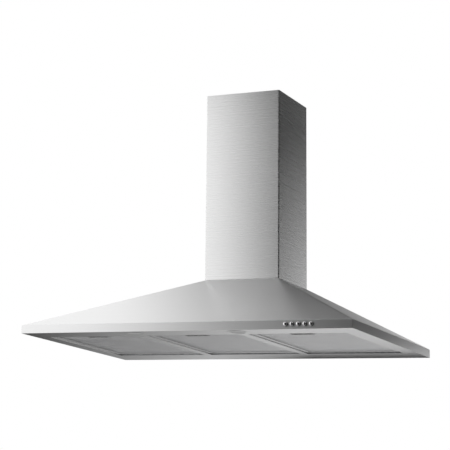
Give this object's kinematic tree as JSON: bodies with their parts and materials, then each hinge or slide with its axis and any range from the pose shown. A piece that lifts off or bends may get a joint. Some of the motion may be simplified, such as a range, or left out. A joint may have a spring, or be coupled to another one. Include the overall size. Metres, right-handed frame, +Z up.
{
  "type": "range hood",
  "caption": "Wall chimney cooker hood: low steel pyramid canopy with a slim rim, square telescoping chimney, push buttons and swing-down aluminium grease filters.",
  "frame": {"origin": "on the wall plane, at the middle of the canopy lower back edge", "axes": "+X to the right as seen from the cook, +Y into the wall, +Z up"},
  "size_m": [0.9, 0.5255, 0.6918],
  "materials": {
    "brushed_steel": "fine brushed stainless steel",
    "galvanised_steel": "galvanised sheet",
    "zinc_fasteners": "zinc plated",
    "spring_steel": "bright spring wire",
    "chrome": "polished chrome",
    "bare_aluminium": "satin aluminium",
    "aluminium_mesh": "expanded aluminium mesh",
    "motor_paint": "black enamel",
    "black_plastic": "moulded",
    "grey_plastic": "moulded",
    "white_plastic": "moulded",
    "frosted_lens": "frosted"
  },
  "bodies": {
    "hood": {"canopy_front": "brushed_steel", "canopy_left": "brushed_steel", "canopy_right": "brushed_steel", "chimney_seat": "brushed_steel", "back_plate": "galvanised_steel", "lower_chimney": "brushed_steel", "underside_panel": "brushed_steel", "panel_flanges": "brushed_steel", "filter_hook_rail": "galvanised_steel", "switch_block": "black_plastic", "blower_housing_left": "grey_plastic", "blower_housing_right": "grey_plastic", "blower_bracket_left": "galvanised_steel", "blower_bracket_right": "galvanised_steel", "motor": "motor_paint", "motor_bracket": "galvanised_steel", "motor_bracket_screws": "zinc_fasteners", "outlet_collar": "grey_plastic", "damper_rod": "zinc_fasteners", "control_box": "black_plastic", "control_box_lid": "black_plastic", "terminal_block": "white_plastic", "motor_capacitor": "bare_aluminium", "cable_gland": "black_plastic", "lamp_bezel_left": "brushed_steel", "lamp_lens_left": "frosted_lens", "lamp_body_left": "bare_aluminium", "lamp_bezel_right": "brushed_steel", "lamp_lens_right": "frosted_lens", "lamp_body_right": "bare_aluminium", "button_spring_1": "spring_steel", "button_spring_2": "spring_steel", "button_spring_3": "spring_steel", "button_spring_4": "spring_steel", "button_spring_5": "spring_steel"},
    "upper_chimney": {"upper_chimney": "brushed_steel", "chimney_bracket": "galvanised_steel", "chimney_bracket_rivets": "zinc_fasteners"},
    "impeller": {"impeller_discs": "grey_plastic", "impeller_blades": "grey_plastic", "motor_shaft": "zinc_fasteners"},
    "damper_flap_front": {"damper_flap_front": "grey_plastic"},
    "damper_flap_back": {"damper_flap_back": "grey_plastic"},
    "button_1": {"button_1": "chrome"},
    "button_2": {"button_2": "chrome"},
    "button_3": {"button_3": "chrome"},
    "button_4": {"button_4": "chrome"},
    "button_5": {"button_5": "chrome"},
    "filter_left": {"filter_frame_left": "bare_aluminium", "filter_mesh_left": "aluminium_mesh", "latch_spring_left": "spring_steel"},
    "latch_left": {"filter_latch_left": "brushed_steel"},
    "filter_middle": {"filter_frame_middle": "bare_aluminium", "filter_mesh_middle": "aluminium_mesh", "latch_spring_middle": "spring_steel"},
    "latch_middle": {"filter_latch_middle": "brushed_steel"},
    "filter_right": {"filter_frame_right": "bare_aluminium", "filter_mesh_right": "aluminium_mesh", "latch_spring_right": "spring_steel"},
    "latch_right": {"filter_latch_right": "brushed_steel"}
  },
  "joints": [
    {"name": "upper_chimney_slide", "type": "slide", "parent": "hood", "child": "upper_chimney", "axis": [0, 0, 1], "range_m": [0, 0.38]},
    {"name": "impeller_spin", "type": "hinge", "parent": "hood", "child": "impeller", "pos_m": [0, -0.092, 0.165], "axis": [1, 0, 0], "continuous": true},
    {"name": "damper_flap_front_swing", "type": "hinge", "parent": "hood", "child": "damper_flap_front", "pos_m": [0, -0.092, 0.305], "axis": [-1, 0, 0], "range_deg": [0, 75]},
    {"name": "damper_flap_back_swing", "type": "hinge", "parent": "hood", "child": "damper_flap_back", "pos_m": [0, -0.092, 0.305], "axis": [1, 0, 0], "range_deg": [0, 75]},
    {"name": "button_1_press", "type": "slide", "parent": "hood", "child": "button_1", "axis": [0, 1, 0], "range_m": [0, 0.003], "stiffness_N_per_m": 400, "springref_m": -0.003, "deforming": ["button_spring_1"]},
    {"name": "button_2_press", "type": "slide", "parent": "hood", "child": "button_2", "axis": [0, 1, 0], "range_m": [0, 0.003], "stiffness_N_per_m": 400, "springref_m": -0.003, "deforming": ["button_spring_2"]},
    {"name": "button_3_press", "type": "slide", "parent": "hood", "child": "button_3", "axis": [0, 1, 0], "range_m": [0, 0.003], "stiffness_N_per_m": 400, "springref_m": -0.003, "deforming": ["button_spring_3"]},
    {"name": "button_4_press", "type": "slide", "parent": "hood", "child": "button_4", "axis": [0, 1, 0], "range_m": [0, 0.003], "stiffness_N_per_m": 400, "springref_m": -0.003, "deforming": ["button_spring_4"]},
    {"name": "button_5_press", "type": "slide", "parent": "hood", "child": "button_5", "axis": [0, 1, 0], "range_m": [0, 0.003], "stiffness_N_per_m": 400, "springref_m": -0.003, "deforming": ["button_spring_5"]},
    {"name": "filter_left_swing", "type": "hinge", "parent": "hood", "child": "filter_left", "pos_m": [-0.281, -0.099, 0.007], "axis": [1, 0, 0], "range_deg": [0, 80]},
    {"name": "latch_left_slide", "type": "slide", "parent": "filter_left", "child": "latch_left", "axis": [0, 1, 0], "range_m": [0, 0.006], "stiffness_N_per_m": 300, "springref_m": -0.004, "deforming": ["latch_spring_left"]},
    {"name": "filter_middle_swing", "type": "hinge", "parent": "hood", "child": "filter_middle", "pos_m": [0, -0.099, 0.007], "axis": [1, 0, 0], "range_deg": [0, 80]},
    {"name": "latch_middle_slide", "type": "slide", "parent": "filter_middle", "child": "latch_middle", "axis": [0, 1, 0], "range_m": [0, 0.006], "stiffness_N_per_m": 300, "springref_m": -0.004, "deforming": ["latch_spring_middle"]},
    {"name": "filter_right_swing", "type": "hinge", "parent": "hood", "child": "filter_right", "pos_m": [0.281, -0.099, 0.007], "axis": [1, 0, 0], "range_deg": [0, 80]},
    {"name": "latch_right_slide", "type": "slide", "parent": "filter_right", "child": "latch_right", "axis": [0, 1, 0], "range_m": [0, 0.006], "stiffness_N_per_m": 300, "springref_m": -0.004, "deforming": ["latch_spring_right"]}
  ]
}
